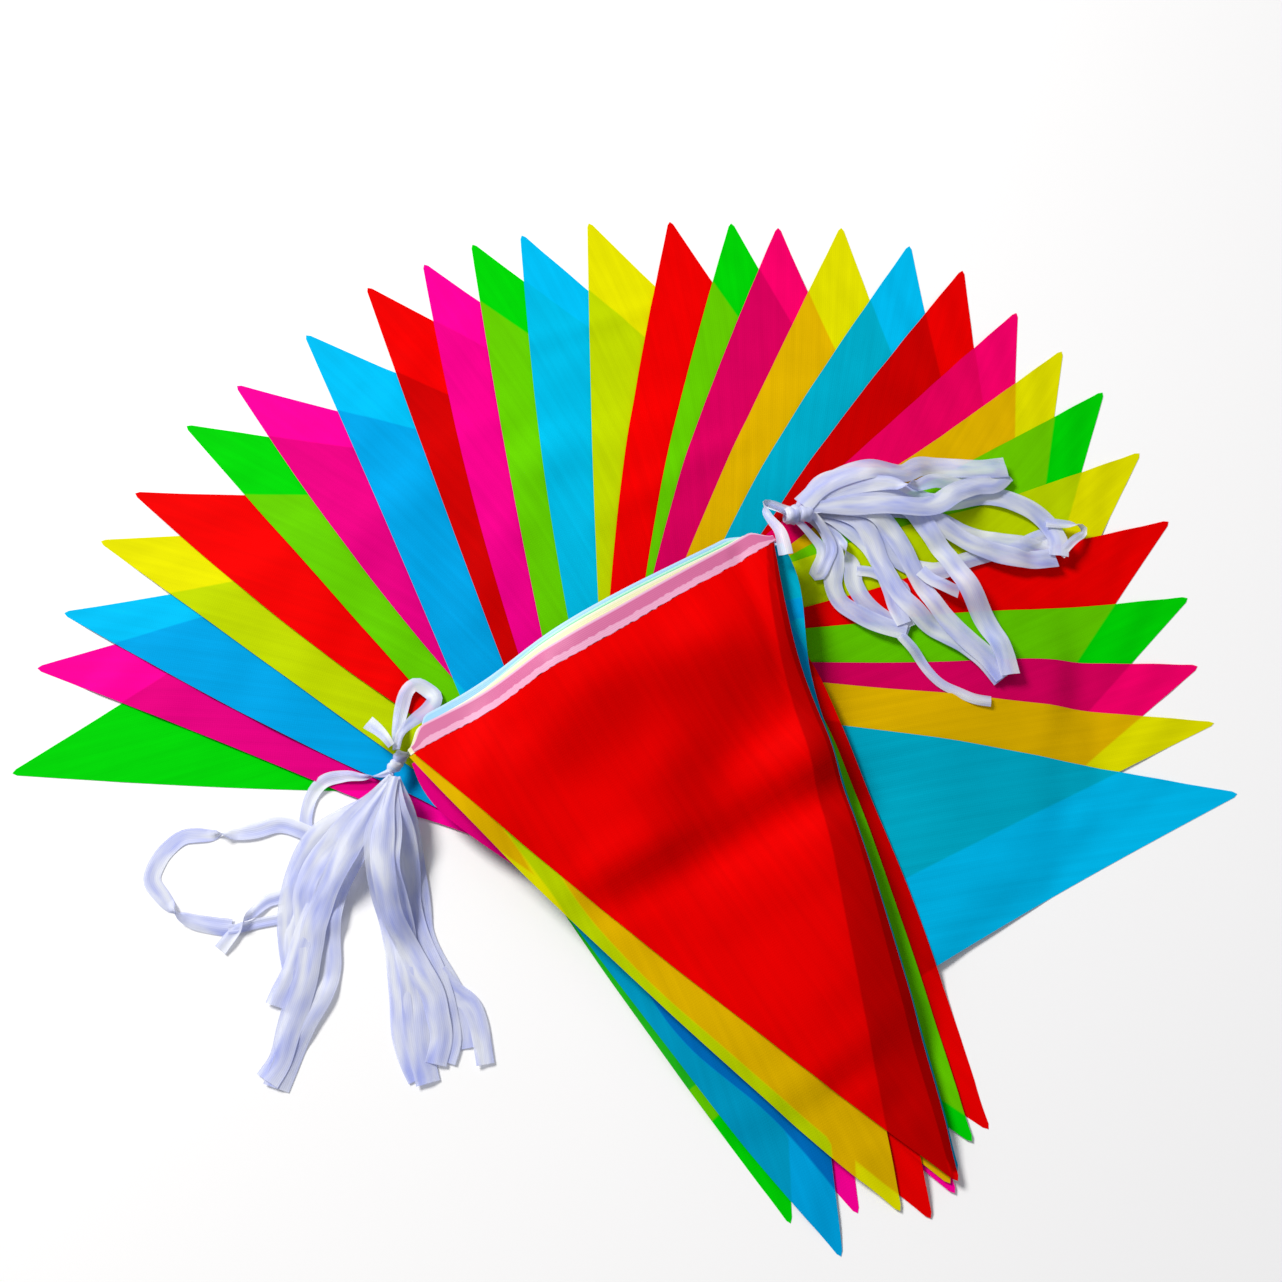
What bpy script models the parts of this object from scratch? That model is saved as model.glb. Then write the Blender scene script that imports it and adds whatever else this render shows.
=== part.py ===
# A string of pennant bunting laid down for show: twenty-eight flags opened into a fan, eleven more
# in a pile on top of it, and the spare tape between the flags gathered, knotted and looped at each
# end of the pile. Plan sizes are in millimetres from the hub, the middle of the pile's taped edge.

import math

import bmesh
import bpy
import numpy as np

MM = 0.001

# The cloth
FLAG_WIDTH = 200.0  # along the taped edge
FLAG_LENGTH = 280.0  # from the taped edge to the point
POINT_WIDTH = 3.0  # the point is cut this blunt
CLOTH = 1.05
GAP = 0.3
RISE = CLOTH + GAP  # from one layer of the stack to the next
CELL = 36.0  # pitch of the triangles that carry the drape

# The tape
TAPE_WIDTH = 10.0
TAPE = 1.0
ROOT_WIDTH = 4.0  # of a tape where it is gathered at a knot
FLARE = 22.0  # length over which a gathered tape opens to its width
STEP = 9.0  # between the cross-sections of a tape
STEEPEST = 0.45  # slope at which a tape climbs or falls
CLEAR = 0.45  # over whatever cloth or tape a tape lies on
SEAT = 0.6  # depth, in thicknesses, at which a folded or crossing tape starts in the one below
CURVE_STEPS = 20  # between two points of a route
SAMPLE = 2.0  # pitch of the points at which the stack's top is known

# The knots
KNOT_RADIUS = 6.6
KNOT_HALF = 4.6  # half its length along the gathered tapes
KNOT_TURNS = 3
TURN_STEPS = 4  # points along each turn
KNOT_SIDES = 14
KNOT_SHOULDER = 0.18  # share of the half wave that the barrel leaves off at each end
KNOT_FULLNESS = 0.4  # lower is squarer
TURN_RELIEF = 1.1  # how far each turn stands proud of the groove beside it
NECK_RADIUS = 3.4
NECK_TAPER = 0.8
NECK_SIDES = 12
NECK_BACK = 7.5  # how far the gathered tapes reach behind the knot's middle
NECK_FRONT = 9.5

COLOURS = {
    "red": (0.80, 0.002, 0.002),
    "yellow": (0.72, 0.68, 0.002),
    "green": (0.01, 0.62, 0.01),
    "blue": (0.005, 0.50, 0.85),
    "pink": (0.85, 0.004, 0.26),
    "tape": (0.82, 0.82, 0.93),
}
CLOTH_ROUGHNESS = 0.55

# Fan flags from the lowest to the highest: colour, point x, point y, and the bearing in degrees
# from the point to the taped edge. wave is how far the flag, with all above it, is lifted by a soft
# buckle that crosses it.
FAN = (
    ("green", -280, -52, 17.2, 0.0),
    ("pink", -276, 1, -1.3, 0.0),
    ("blue", -267, 30, -8.1, 0.8),
    ("yellow", -254, 69, -16.2, 0.0),
    ("red", -240, 96, -19.4, 0.5),
    ("green", -218, 135, -29.0, 0.0),
    ("pink", -194, 159, -33.3, 0.8),
    ("blue", -160, 190, -46.0, 0.0),
    ("red", -129, 220, -49.7, 0.6),
    ("pink", -99, 235, -55.8, 0.0),
    ("green", -73, 248, -59.3, 0.0),
    ("blue", -46, 254, -62.5, 1.0),
    ("yellow", -9, 262, -68.2, 0.0),
    ("red", 36, 263, -78.1, 0.5),
    ("green", 70, 262, -82.5, 0.0),
    ("pink", 96, 259, -88.4, 0.0),
    ("yellow", 131, 259, -93.5, 0.6),
    ("blue", 168, 247, -100.5, 0.0),
    ("red", 196, 231, -106.0, 0.0),
    ("pink", 223, 204, -115.5, 0.6),
    ("yellow", 245, 180, -121.5, 0.0),
    ("green", 264, 155, -129.2, 0.0),
    ("yellow", 279, 119, -139.3, 0.5),
    ("red", 289, 80, -144.0, 0.0),
    ("green", 293, 38, -153.0, 0.0),
    ("pink", 293, 2, -158.6, 0.6),
    ("yellow", 297, -27, -166.0, 0.0),
    ("blue", 303, -62, -170.4, 0.0),
)
WAVE_PLACE = 0.45  # of the length from the point, where a buckle crosses
WAVE_HALF = 45.0
GATHERED = {27: 151.0, 28: 187.0}  # width of a taped edge that is drawn together under the pile

# Pile flags from the lowest to the highest: colour, point x, point y, how far the taped edge lies
# behind the top flag's, how far it is shifted along it, and how far its left end is tucked in.
PILE_BEARING = 120.6
PILE_WIDTH = 195.0  # of its taped edges, which the knots draw together a little
PILE = (
    ("green", 84, -250, 9.5, -1.0, 16.0),
    ("pink", 113, -246, 9.0, 1.5, 0.0),
    ("blue", 105, -263, 10.5, 0.0, 10.0),
    ("red", 172, -212, 7.0, 1.0, 0.0),
    ("green", 164, -217, 8.0, -1.0, 0.0),
    ("blue", 157, -229, 6.5, 1.5, 0.0),
    ("pink", 155, -238, 5.0, 0.0, 0.0),
    ("yellow", 153, -234, 4.5, -1.0, 0.0),
    ("red", 144, -248, 1.5, 0.5, 0.0),
    ("yellow", 131, -245, 3.0, -2.0, 0.0),
    ("red", 156, -233, 0.0, 0.0, 0.0),
)

# Folds of the pile: the lowest pile flag that has it, its ends, its height and its half width.
FOLDS = (
    (0, -95, -40, -60, -70, 5.0, 40.0),
    (0, 85, 62, 95, 20, 4.0, 34.0),
    (8, 60, 0, 150, -150, 4.5, 36.0),
    (10, -20, -70, 60, -30, 5.5, 40.0),
)

# Tapes of each knot, the lowest first: where each starts and where it ends, its width, and its plan
# route. "front" and "rear" are the two ends of the gathered neck, "fold" is the end of the tape
# before it, "tape" is whatever tape lies there, and "free" is a plain end.
RIGHT_KNOT = (91.0, 68.0, 5.0)  # x, y and the bearing of the gathered tapes
RIGHT_TAPES = (
    ("front", "free", 10, ((110, 60), (114, 46), (115, 30), (128, 19), (147, 12))),
    ("fold", "front", 10, ((138, 20), (126, 31), (123, 46), (114, 62))),
    ("front", "free", 10, ((119, 72), (133, 60), (141, 39), (155, 19), (176, 7), (191, -9))),
    ("front", "free", 10, ((130, 80), (152, 77), (166, 59), (178, 38), (188, 18), (196, -8))),
    ("fold", "front", 10, ((182, 5), (165, 22), (154, 42), (143, 65), (124, 74))),
    ("front", "free", 10, ((121, 76), (150, 77), (175, 69), (202, 62), (226, 57))),
    ("fold", "front", 8, ((228, 70), (214, 86), (192, 90), (163, 83), (128, 82))),
    ("front", "free", 10, ((109, 84), (128, 96), (151, 99), (178, 105), (206, 105))),
    ("fold", "front", 9, ((196, 95), (172, 84), (150, 77), (124, 77))),
    ("tape", "free", 5, ((145, 11), (152, -1), (163, -13), (175, -20), (186, -21))),
)
LEFT_KNOT = (-96.5, -51.2, -118.0)
LEFT_TAPES = (
    ("front", "free", 7, ((-110, -57), (-124, -56), (-135, -62), (-138, -74), (-136, -86))),
    ("front", "free", 11, ((-112, -71), (-131, -84), (-140, -104), (-140, -130), (-143, -158))),
    ("tape", "free", 7, ((-137, -80), (-157, -79), (-182, -82), (-200, -87), (-206, -102),
                         (-192, -119), (-167, -126))),
    ("tape", "free", 7, ((-141, -106), (-148, -110), (-160, -120), (-172, -134))),
    ("front", "free", 12, ((-109, -80), (-122, -106), (-130, -135), (-134, -160), (-145, -192))),
    ("fold", "front", 12, ((-134, -176), (-122, -146), (-121, -116), (-106, -82))),
    ("front", "free", 11, ((-101, -80), (-101, -104), (-94, -130), (-88, -162), (-77, -192))),
    ("fold", "front", 11, ((-79, -172), (-82, -140), (-85, -108), (-91, -84))),
    ("front", "free", 11, ((-90, -78), (-86, -100), (-81, -124), (-69, -148), (-57, -178))),
    ("tape", "free", 8, ((-75, -138), (-66, -150), (-57, -162), (-49, -185))),
    ("rear", "free", 7, ((-97, -33), (-95, -19), (-89, -10), (-80, -15), (-82, -25))),
)


def unit(degrees):
    angle = math.radians(degrees)
    return np.array((math.cos(angle), math.sin(angle)))


def across(direction):
    return np.array((-direction[1], direction[0]))


def counter_clockwise(outline):
    x, y = np.array(outline).T
    area = np.sum(x * np.roll(y, -1) - y * np.roll(x, -1))
    return np.array(outline if area > 0 else outline[::-1])


def left_of(start, end, points):
    """How far to the left of the line from start to end each point lies."""
    along = (end - start) / np.linalg.norm(end - start)
    rest = points - start
    return along[0] * rest[..., 1] - along[1] * rest[..., 0]


def inside(outline, points):
    """How far inside an outline each point lies; negative is outside."""
    sides = [left_of(outline[i - 1], outline[i], points) for i in range(len(outline))]
    return np.min(sides, axis=0)


class Stack:
    """The heap of cloth: one net of triangles, shared by every flag so that no two can cross, with
    the height at which the next flag lies over each of its corners, and the top seen so far."""

    def __init__(self, low, high):
        self.row = CELL * math.sqrt(3) / 2
        rows = int((high[1] - low[1]) / self.row) + 2
        self.columns = int((high[0] - low[0]) / CELL) + 3
        self.low = np.array(low)
        corners = [
            (low[0] + (i + 0.5 * (j % 2) - 0.5) * CELL, low[1] + j * self.row)
            for j in range(rows)
            for i in range(self.columns)
        ]
        self.corners = np.array(corners)
        cells = []
        for j in range(rows - 1):
            for i in range(self.columns - 1):
                a = j * self.columns + i
                b, c = a + 1, a + self.columns
                d = c + 1
                cells += [(a, d, c), (a, b, d)] if j % 2 else [(a, b, c), (b, d, c)]
        self.cells = np.array(cells)
        self.height = np.zeros(len(self.corners))
        self.sample_top(low, high)

    def sample_top(self, low, high):
        """Sets out the points at which the top is known, each with its cell and its share of it."""
        self.size = tuple(int((h - l) / SAMPLE) for l, h in zip(low, high))
        grid = np.stack(np.meshgrid(*(np.arange(n) for n in self.size), indexing="ij"), axis=-1)
        self.points = self.low + grid.reshape(-1, 2) * SAMPLE
        self.top = np.zeros(len(self.points))
        self.cell = np.zeros(len(self.points), int)
        self.share = np.zeros((len(self.points), 3))
        for number, cell in enumerate(self.cells):
            a, b, c = self.corners[cell]
            near = np.flatnonzero(inside((a, b, c), self.points) > -1e-6)
            twice = np.cross(np.append(b - a, 0), np.append(c - a, 0))[2]
            pb = left_of(a, c, self.points[near]) * -np.linalg.norm(c - a) / twice
            pc = left_of(a, b, self.points[near]) * np.linalg.norm(b - a) / twice
            self.cell[near] = number
            self.share[near] = np.stack((1 - pb - pc, pb, pc), axis=-1)

    def touched(self, outline):
        """The cells that an outline reaches into."""
        found = np.ones(len(self.cells), bool)
        triangles = self.corners[self.cells]
        for i in range(len(outline)):
            found &= left_of(outline[i - 1], outline[i], triangles).max(axis=1) > 1e-6
        for k in range(3):
            start, end = triangles[:, k - 1], triangles[:, k]
            along = end - start
            rest = outline[None] - start[:, None]
            side = along[:, None, 0] * rest[..., 1] - along[:, None, 1] * rest[..., 0]
            found &= side.max(axis=1) > 1e-6
        return self.cells[found]

    def at_samples(self):
        return (self.height[self.cells[self.cell]] * self.share).sum(axis=1)

    def lay(self, outline):
        """Lays one sheet on the stack and raises it where the sheet is."""
        covered = inside(outline, self.points) > -SAMPLE / 2
        self.top[covered] = self.at_samples()[covered] + CLOTH
        self.height[np.unique(self.touched(outline))] += RISE

    def lift(self, start, end, height, half):
        """Raises the stack along a line by a soft ridge, under every sheet laid from now on."""
        start, end = np.array(start, float), np.array(end, float)
        along = end - start
        share = np.clip((self.corners - start) @ along / (along @ along), 0, 1)
        away = np.linalg.norm(self.corners - start - share[:, None] * along, axis=1)
        self.height += height * np.where(away < half, np.cos(away / half * math.pi / 2) ** 2, 0)

    def top_near(self, points, reach):
        """The greatest height of the top within reach of each point."""
        spread = np.arange(-reach, reach + SAMPLE, SAMPLE)
        found = np.zeros(len(points))
        for dx in spread:
            for dy in spread:
                at = np.rint((points + (dx, dy) - self.low) / SAMPLE).astype(int)
                at = np.clip(at, 0, np.array(self.size) - 1)
                found = np.maximum(found, self.top[at[:, 0] * self.size[1] + at[:, 1]])
        return found


def material(name):
    made = bpy.data.materials.get(name)
    if made is None:
        made = bpy.data.materials.new(name)
        made.use_nodes = True
        shader = made.node_tree.nodes["Principled BSDF"]
        shader.inputs["Base Color"].default_value = (*COLOURS[name], 1)
        shader.inputs["Roughness"].default_value = CLOTH_ROUGHNESS
        shader.inputs["Metallic"].default_value = 0.0
    return made


def finish(name, shape, colour, anchor):
    """Turns a shape in millimetres into a named object in metres."""
    bmesh.ops.recalc_face_normals(shape, faces=shape.faces)
    bmesh.ops.scale(shape, vec=(MM, MM, MM), verts=shape.verts)
    mesh = bpy.data.meshes.new(name)
    shape.to_mesh(mesh)
    shape.free()
    mesh.materials.append(material(colour))
    made = bpy.data.objects.new(name, mesh)
    bpy.context.scene.collection.objects.link(made)
    made.parent = anchor
    return made


def sheet(name, outline, stack, colour, anchor):
    """A sheet of cloth with this outline, draped over the stack: the net's cells are cut to the
    outline and given their thickness upwards."""
    shape = bmesh.new()
    corners = {}
    for cell in stack.touched(outline):
        for corner in cell:
            if corner not in corners:
                x, y = stack.corners[corner]
                corners[corner] = shape.verts.new((x, y, stack.height[corner]))
        shape.faces.new([corners[corner] for corner in cell])
    for i in range(len(outline)):
        start, end = outline[i - 1], outline[i]
        outwards = -across(end - start)
        everything = shape.verts[:] + shape.edges[:] + shape.faces[:]
        bmesh.ops.bisect_plane(
            shape,
            geom=everything,
            dist=1e-4,
            plane_co=(*start, 0),
            plane_no=(*outwards, 0),
            clear_outer=True,
        )
    raised = bmesh.ops.extrude_face_region(shape, geom=shape.faces[:])["geom"]
    raised = [part for part in raised if isinstance(part, bmesh.types.BMVert)]
    bmesh.ops.translate(shape, vec=(0, 0, CLOTH), verts=raised)
    return finish(name, shape, colour, anchor)


def fan_outline(point, bearing, width):
    along = unit(bearing)
    side = across(along)
    middle = point + along * FLAG_LENGTH
    return counter_clockwise(
        [
            point - side * POINT_WIDTH / 2,
            point + side * POINT_WIDTH / 2,
            middle + side * width / 2,
            middle - side * width / 2,
        ]
    )


def pile_outlines(point, behind, shift, tucked):
    """The cloth, its heading tape, and both together, for a flag of the pile."""
    back = unit(PILE_BEARING)
    along = across(back)
    middle = back * behind - along * shift
    ends = [middle - along * PILE_WIDTH / 2, middle + along * (PILE_WIDTH / 2 - tucked)]
    blunt = along * POINT_WIDTH / 2
    cloth = [point - blunt, point + blunt, ends[1], ends[0]]
    near = [end + back * GAP for end in ends]
    far = [end + back * TAPE_WIDTH for end in ends]
    tape = [near[0], near[1], far[1], far[0]]
    whole = [point - blunt, point + blunt, ends[1], far[1], far[0], ends[0]]
    return tuple(counter_clockwise(outline) for outline in (cloth, tape, whole))


def smooth_route(route, step):
    """Points every step along a smooth curve through the route's own points."""
    route = np.array(route, float)
    ends = np.vstack((2 * route[0] - route[1], route, 2 * route[-1] - route[-2]))
    fine = []
    for before, start, end, after in zip(ends, ends[1:], ends[2:], ends[3:]):
        for t in np.arange(CURVE_STEPS) / CURVE_STEPS:
            pull = (end - before) * t + (2 * before - 5 * start + 4 * end - after) * t**2
            pull += (3 * start - before - 3 * end + after) * t**3
            fine.append(start + pull / 2)
    fine = np.array(fine + [route[-1]])
    run = np.append(0, np.cumsum(np.linalg.norm(np.diff(fine, axis=0), axis=1)))
    even = np.linspace(0, run[-1], max(3, round(run[-1] / step) + 1))
    return np.stack([np.interp(even, run, fine[:, k]) for k in (0, 1)], axis=-1), even


def sides_of(points):
    """The unit direction across a route at each of its points."""
    along = np.gradient(points, axis=0)
    along /= np.linalg.norm(along, axis=1)[:, None]
    return np.stack((-along[:, 1], along[:, 0]), axis=-1)


def strip(name, points, widths, lows, anchor):
    """A flat tape along points, with its underside at these heights."""
    shape = bmesh.new()
    side = sides_of(points) * widths[:, None] / 2
    rings = []
    for point, out, low in zip(points, side, lows):
        left, right = point + out, point - out
        section = ((*left, low), (*right, low), (*right, low + TAPE), (*left, low + TAPE))
        rings.append([shape.verts.new(corner) for corner in section])
    for ring, after in zip(rings, rings[1:]):
        for k in range(4):
            shape.faces.new((ring[k - 1], ring[k], after[k], after[k - 1]))
    shape.faces.new(rings[0])
    shape.faces.new(rings[-1])
    return finish(name, shape, "tape", anchor)


def eased(lows, run):
    """Heights no lower than these, with no slope steeper than STEEPEST."""
    drop = np.abs(run[:, None] - run[None]) * STEEPEST
    return (lows[None] - drop).max(axis=1)


def seat_on(laid, point):
    """The height at which a tape starts in whichever laid tape passes nearest to a point."""
    nearest, seat = math.inf, 0
    for points, _, lows in laid:
        for start, end, low, after in zip(points, points[1:], lows, lows[1:]):
            along = end - start
            share = np.clip((point - start) @ along / (along @ along), 0, 1)
            away = np.linalg.norm(start + share * along - point)
            if away < nearest:
                nearest, seat = away, low + (after - low) * share + TAPE * (1 - SEAT)
    return seat


def lay_tape(stack, route, width, roots, seat):
    """Where one tape lies on the stack: its points, widths and heights. roots are the knot ends
    that it leaves or enters, and seat is the height at which it starts in another tape, if any."""
    points, run = smooth_route(route, STEP)
    widths = np.full(len(points), float(width))
    between, between_run = smooth_route(route, SAMPLE)
    tops = stack.top_near(between, width / 2)
    tops = np.where(np.abs(run[:, None] - between_run) < STEP, tops, 0).max(axis=1)
    lows = np.where(tops > 0, tops + CLEAR, 0)
    for root in roots:
        away = np.linalg.norm(points - root[:2], axis=1)
        opened = ROOT_WIDTH + (width - ROOT_WIDTH) * np.clip(away / FLARE, 0, 1)
        widths = np.minimum(widths, opened)
        lows = np.where(away < NECK_RADIUS, root[2], lows)
    lows = eased(lows, run)
    for root in roots:
        away = np.linalg.norm(points - root[:2], axis=1)
        lows = np.where(away < NECK_RADIUS, root[2], lows)
    if seat is not None:
        lows[0] = seat
    for point, low, half in zip(points, lows, widths / 2):
        away = np.linalg.norm(stack.points - point, axis=1)
        under = away < max(half, STEP / 2 + SAMPLE / 2)
        stack.top[under] = np.maximum(stack.top[under], low + TAPE)
    return points, widths, lows


def turned(name, profile, sides, centre, bearing, anchor, bored):
    """A body turned about a level axis: profile holds (along, radius), from back to front, and a
    bored one closes from the front back to the start."""
    shape = bmesh.new()
    axis = np.array((*unit(bearing), 0))
    level = np.array((*across(axis[:2]), 0))
    up = np.array((0, 0, 1))
    angles = [2 * math.pi * k / sides for k in range(sides)]
    spokes = [math.cos(angle) * level + math.sin(angle) * up for angle in angles]
    rings = []
    for along, radius in profile:
        rings.append([shape.verts.new(centre + axis * along + radius * spoke) for spoke in spokes])
    if bored:
        rings.append(rings[0])
    else:
        shape.faces.new(rings[0])
        shape.faces.new(rings[-1])
    for ring, after in zip(rings, rings[1:]):
        for k in range(sides):
            shape.faces.new((ring[k - 1], ring[k], after[k], after[k - 1]))
    return finish(name, shape, "tape", anchor)


def join(target, others):
    """Fuses the others into the target."""
    for other in others:
        fuse = target.modifiers.new("fuse", "BOOLEAN")
        fuse.operation = "UNION"
        fuse.object = other
        bpy.context.view_layer.update()
        graph = bpy.context.evaluated_depsgraph_get()
        fused = bpy.data.meshes.new_from_object(target.evaluated_get(graph))
        target.modifiers.clear()
        target.data = fused
        bpy.data.objects.remove(other, do_unlink=True)


def knot(name, centre, bearing, anchor):
    """The wound turns of a knot, with a bore for the gathered tapes."""
    steps = KNOT_TURNS * TURN_STEPS
    outer = []
    for i in range(steps + 1):
        share = i / steps
        turn = abs(math.sin(share * KNOT_TURNS * math.pi))
        barrel = math.sin(math.pi * (KNOT_SHOULDER + (1 - 2 * KNOT_SHOULDER) * share))
        radius = (KNOT_RADIUS - TURN_RELIEF) * barrel**KNOT_FULLNESS + TURN_RELIEF * turn
        outer.append(((2 * share - 1) * KNOT_HALF, radius))
    bore = NECK_RADIUS + GAP
    profile = [(-KNOT_HALF, bore), *outer, (KNOT_HALF, bore)]
    return turned(name, profile, KNOT_SIDES, centre, bearing, anchor, bored=True)


def bundle(name, place, tapes, stack, anchor):
    """The gathered neck and all the tapes that leave it, fused where they meet."""
    x, y, bearing = place
    under = stack.top_near(np.array([(x, y)]), KNOT_HALF)[0]
    centre = np.array((x, y, under + CLEAR + KNOT_RADIUS))
    neck = (
        (-NECK_BACK, NECK_RADIUS * NECK_TAPER),
        (-NECK_BACK / 2, NECK_RADIUS),
        (NECK_FRONT, NECK_RADIUS),
    )
    whole = turned(name, neck, NECK_SIDES, centre, bearing, anchor, bored=False)
    axis = np.array((*unit(bearing), 0))
    level = centre - (0, 0, TAPE / 2)
    ends = {
        "front": level + axis * (NECK_FRONT - ROOT_WIDTH / 2),
        "rear": level - axis * (NECK_BACK - ROOT_WIDTH / 4),
    }
    made, laid = [], []
    for number, (start, stop, width, route) in enumerate(tapes):
        route = list(route)
        roots = [ends[end] for end in (start, stop) if end in ends]
        if start in ends:
            route.insert(0, tuple(ends[start][:2]))
        if start == "fold":
            route.insert(0, tuple(laid[-1][0][-1]))
        if stop in ends:
            route.append(tuple(ends[stop][:2]))
        seat = None if start in ends else seat_on(laid, np.array(route[0]))
        laid.append(lay_tape(stack, route, width, roots, seat))
        made.append(strip(f"{name}_{number}", *laid[-1], anchor))
    join(whole, made)
    return whole, centre


def main():
    for old in list(bpy.data.objects):
        bpy.data.objects.remove(old, do_unlink=True)
    anchor = bpy.data.objects.new("bunting", None)
    bpy.context.scene.collection.objects.link(anchor)
    stack = Stack((-330, -300), (340, 300))

    for number, (colour, x, y, bearing, wave) in enumerate(FAN, 1):
        point = np.array((x, y), float)
        crossing = point + unit(bearing) * FLAG_LENGTH * WAVE_PLACE
        if wave:
            side = across(unit(bearing)) * WAVE_HALF
            stack.lift(crossing - side, crossing + side, wave, WAVE_HALF)
        outline = fan_outline(point, bearing, GATHERED.get(number, FLAG_WIDTH))
        sheet(f"flag_{number:02d}_{colour}", outline, stack, colour, anchor)
        stack.lay(outline)

    for layer, (colour, x, y, behind, shift, tucked) in enumerate(PILE):
        for first, x0, y0, x1, y1, height, half in FOLDS:
            if first == layer:
                stack.lift((x0, y0), (x1, y1), height, half)
        number = len(FAN) + 1 + layer
        cloth, tape, whole = pile_outlines(np.array((x, y), float), behind, shift, tucked)
        sheet(f"flag_{number:02d}_{colour}", cloth, stack, colour, anchor)
        sheet(f"heading_{number:02d}", tape, stack, "tape", anchor)
        stack.lay(whole)

    for side, place, tapes in (("right", RIGHT_KNOT, RIGHT_TAPES), ("left", LEFT_KNOT, LEFT_TAPES)):
        loops, centre = bundle(f"tape_{side}", place, tapes, stack, anchor)
        knot(f"knot_{side}", centre, place[2], anchor)

    bpy.context.view_layer.update()
    solids = [thing for thing in bpy.context.scene.objects if thing.type == "MESH"]
    corners = np.array([thing.matrix_world @ v.co for thing in solids for v in thing.data.vertices])
    low, high = corners.min(axis=0), corners.max(axis=0)
    anchor.location = (-(low[0] + high[0]) / 2, -(low[1] + high[1]) / 2, -low[2])


main()
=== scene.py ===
import math

import bpy
import numpy as np
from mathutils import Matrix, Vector


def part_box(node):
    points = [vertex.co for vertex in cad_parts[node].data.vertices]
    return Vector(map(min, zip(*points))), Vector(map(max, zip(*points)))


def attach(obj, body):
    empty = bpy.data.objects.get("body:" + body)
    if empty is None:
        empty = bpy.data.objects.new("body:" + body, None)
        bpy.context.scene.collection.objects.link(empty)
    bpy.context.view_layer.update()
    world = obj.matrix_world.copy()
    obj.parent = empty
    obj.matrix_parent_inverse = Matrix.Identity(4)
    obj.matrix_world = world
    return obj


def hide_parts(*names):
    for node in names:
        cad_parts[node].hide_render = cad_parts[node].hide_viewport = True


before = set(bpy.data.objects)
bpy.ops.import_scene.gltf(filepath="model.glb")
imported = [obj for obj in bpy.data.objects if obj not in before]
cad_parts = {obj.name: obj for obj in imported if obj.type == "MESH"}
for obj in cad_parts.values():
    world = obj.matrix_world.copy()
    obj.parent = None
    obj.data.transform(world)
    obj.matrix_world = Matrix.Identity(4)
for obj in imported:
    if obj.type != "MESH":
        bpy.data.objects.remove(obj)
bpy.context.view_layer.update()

# A string of pennant bunting, laid down: 28 flags fanned out, 11 piled on top, spare tape in loops.
# Lengths are in millimetres here and turned to metres as each mesh is made.
mm = 0.001


def unit(degrees):
    angle = math.radians(degrees)
    return np.array((math.cos(angle), math.sin(angle)))


def across(direction):  # a quarter turn to the left
    return np.array((-direction[1], direction[0]))


def smooth(share):  # 0 to 1, level at both ends
    share = np.clip(share, 0, 1)
    return share * share * (3 - 2 * share)


def planCentre(node):
    low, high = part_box(node)
    return np.array((low + high) / 2)[:2] / mm


cloth = {
    "width": 200,  # along the taped edge
    "length": 280,
    "thick": 0.3,
    "rows": 64,
    "tighter": 1.2,  # rows are closer near the point
    "point": 0.9,  # half the width of the blunt point
    "round": 1.2,  # and how far its rounding reaches
    "unbends": 60,  # a sideways bend ends over this length
    "bowed": 5,  # power by which the bow of the taped edge dies away from it
    "clear": 0.02,  # above the floor at least
    "dipAtMost": 0.4,  # how far a ripple may sink into the layer below
}


# The flags' places come from the solids: two corners at the blunt point, two at the taped edge.
def cornersOf(node):
    plan = np.array([v.co[:2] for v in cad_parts[node].data.vertices]) / mm
    turns = np.radians(np.arange(0.137, 360, 0.5))  # off round angles, so that no two corners tie
    outermost = np.argmax(plan @ np.array((np.cos(turns), np.sin(turns))), axis=0)
    found = []
    for corner in plan[outermost]:
        if all(np.linalg.norm(corner - other) > 0.5 for other in found):
            found.append(corner)
    found = np.array(found)
    apart = np.linalg.norm(found[:, None] - found[None], axis=2)
    apart += np.eye(len(found)) * cloth["length"]  # a corner isn't its own neighbour
    first, second = np.unravel_index(np.argmin(apart), apart.shape)
    point = (found[first] + found[second]) / 2
    ends = np.delete(found, (first, second), axis=0)
    spine = ends.mean(axis=0) - point
    if (ends[0] - ends[1]) @ across(spine) < 0:
        ends = ends[::-1]
    side = (ends[0] - ends[1]) / np.linalg.norm(ends[0] - ends[1])
    return {
        "point": point,
        "spine": spine,
        "side": side,  # along the taped edge
        "back": -across(side),
        "ends": ends,
        "triangle": np.array((point, ends[1], ends[0])),
    }


camera = {
    "overHub": (20, -217, 638),  # from the middle of the pile's taped edge
    "tilt": 20,  # degrees off straight down
    "angle": 50,
}
light = {
    "key": {"place": (-1500, 1250, 1900), "size": 900, "watts": 84, "tint": "#fffdfa"},
    "fill": {"place": (760, -520, 1000), "size": 1200, "watts": 1.1, "tint": "#f2f6ff"},
    "room": 0.26,
    "roomTint": "#f6f8ff",
}
floor = {"half": 2500, "below": 0.2, "tint": "#fcfcfc"}


def linear(hexColour):  # an sRGB hex value as linear RGBA
    parts = [int(hexColour[k : k + 2], 16) / 255 for k in (1, 3, 5)]
    return (*[c / 12.92 if c <= 0.04045 else ((c + 0.055) / 1.055) ** 2.4 for c in parts], 1)


def addNode(material, kind, inputs=None, **settings):  # adds a node with its settings and links
    node = material.node_tree.nodes.new("ShaderNode" + kind)
    for name, value in settings.items():
        setattr(node, name, value)
    for name, value in (inputs or {}).items():
        if isinstance(value, bpy.types.NodeSocket):
            material.node_tree.links.new(value, node.inputs[name])
        else:
            node.inputs[name].default_value = value
    return node


def newMaterial(name):
    material = bpy.data.materials.new(name)
    material.use_nodes = True
    material.node_tree.nodes.clear()
    return material


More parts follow.
